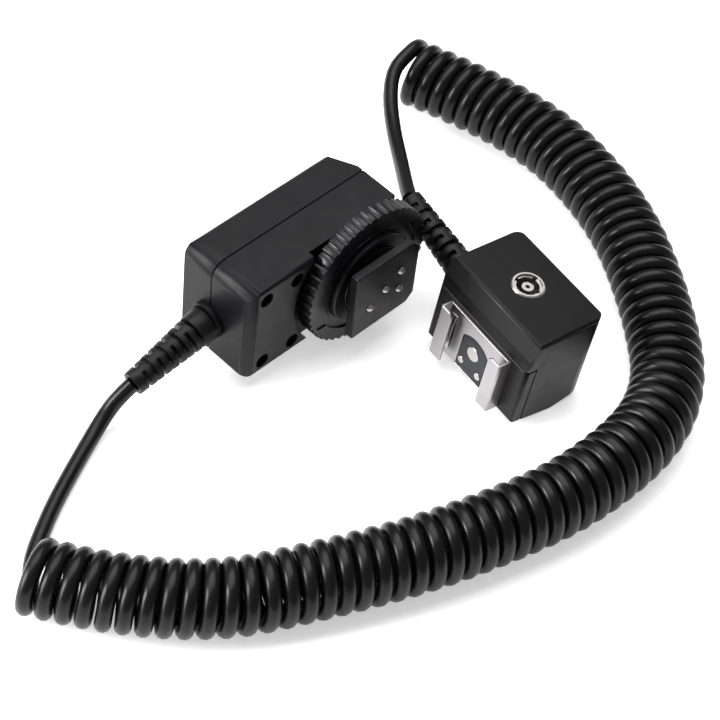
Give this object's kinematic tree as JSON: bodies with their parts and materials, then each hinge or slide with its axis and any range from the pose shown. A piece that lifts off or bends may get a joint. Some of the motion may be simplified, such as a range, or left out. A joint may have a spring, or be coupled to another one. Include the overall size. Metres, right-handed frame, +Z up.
{
  "type": "off_camera_flash_cord",
  "caption": "Coiled off-camera flash cord: camera shoe unit with sprung pins and knurled locking wheel, curly cord, and flash unit with hot shoe and sync socket.",
  "frame": {"origin": "under the middle of the two units, on the surface they lie on", "axes": "Z up; X along the camera unit's length, away from its cord; Y from the shoe foot into the camera unit's case"},
  "size_m": [0.1817, 0.1207, 0.0343],
  "materials": {
    "black_case": "fine satin moulding",
    "dark_screw": "black oxide",
    "knurled_wheel": "semi-gloss",
    "dark_ring": "black anodised",
    "shoe_foot": "satin black coat",
    "black_insulator": "satin",
    "contact_metal": "polished plating",
    "spring_steel": "bright",
    "circuit_board": "solder mask",
    "black_rubber": "matt",
    "flash_case": "satin",
    "shoe_steel": "bright plating",
    "socket_metal": "bright plating",
    "brown_insulator": "moulded",
    "bush_brass": "machined",
    "cord_jacket": "semi-matt PVC"
  },
  "bodies": {
    "root": {"camera_front_shell": "black_case", "camera_back_shell": "black_case", "camera_case_screws": "dark_screw", "threaded_neck": "dark_ring", "neck_nut": "dark_ring", "shoe_foot": "shoe_foot", "pin_carrier": "black_insulator", "pin_springs": "spring_steel", "camera_circuit_board": "circuit_board", "camera_cord_clamp": "black_insulator", "camera_strain_relief": "black_rubber", "flash_cover": "flash_case", "flash_shoe_cap": "flash_case", "flash_case_screws": "dark_screw", "hot_shoe": "shoe_steel", "contact_plate": "black_insulator", "centre_contact": "contact_metal", "side_contacts": "contact_metal", "shoe_springs": "spring_steel", "pc_socket_shell": "socket_metal", "pc_socket_insulator": "brown_insulator", "pc_socket_pin": "socket_metal", "flash_circuit_board": "circuit_board", "tripod_bush": "bush_brass", "flash_cord_clamp": "black_insulator", "flash_strain_relief": "black_rubber", "camera_lead": "cord_jacket", "cord_coil": "cord_jacket", "flash_lead": "cord_jacket"},
    "ring": {"pressure_ring": "dark_ring"},
    "wheel": {"locking_wheel": "knurled_wheel"},
    "centre_pin_body": {"centre_pin": "contact_metal"},
    "upper_lead_pin_body": {"upper_lead_pin": "contact_metal"},
    "lower_lead_pin_body": {"lower_lead_pin": "contact_metal"},
    "trailing_pin_body": {"trailing_pin": "contact_metal"}
  },
  "joints": [
    {"name": "ring_travel", "type": "slide", "parent": "root", "child": "ring", "axis": [0, -1, 0], "range_m": [0, 0.00137]},
    {"name": "wheel_turn", "type": "hinge", "parent": "ring", "child": "wheel", "pos_m": [0.01219, 0.0124, 0.01715], "axis": [0, -1, 0], "range_deg": [0, 330]},
    {"name": "centre_pin_travel", "type": "slide", "parent": "root", "child": "centre_pin_body", "axis": [0, 1, 0], "range_m": [0, 0.0006], "stiffness_N_per_m": 500, "springref_m": -0.0004},
    {"name": "upper_lead_pin_travel", "type": "slide", "parent": "root", "child": "upper_lead_pin_body", "axis": [0, 1, 0], "range_m": [0, 0.0006], "stiffness_N_per_m": 500, "springref_m": -0.0004},
    {"name": "lower_lead_pin_travel", "type": "slide", "parent": "root", "child": "lower_lead_pin_body", "axis": [0, 1, 0], "range_m": [0, 0.0006], "stiffness_N_per_m": 500, "springref_m": -0.0004},
    {"name": "trailing_pin_travel", "type": "slide", "parent": "root", "child": "trailing_pin_body", "axis": [0, 1, 0], "range_m": [0, 0.0006], "stiffness_N_per_m": 500, "springref_m": -0.0004}
  ],
  "couplings": [
    {"joint": "ring_travel", "follows": "wheel_turn", "m_per_rad": 0.00023873}
  ]
}
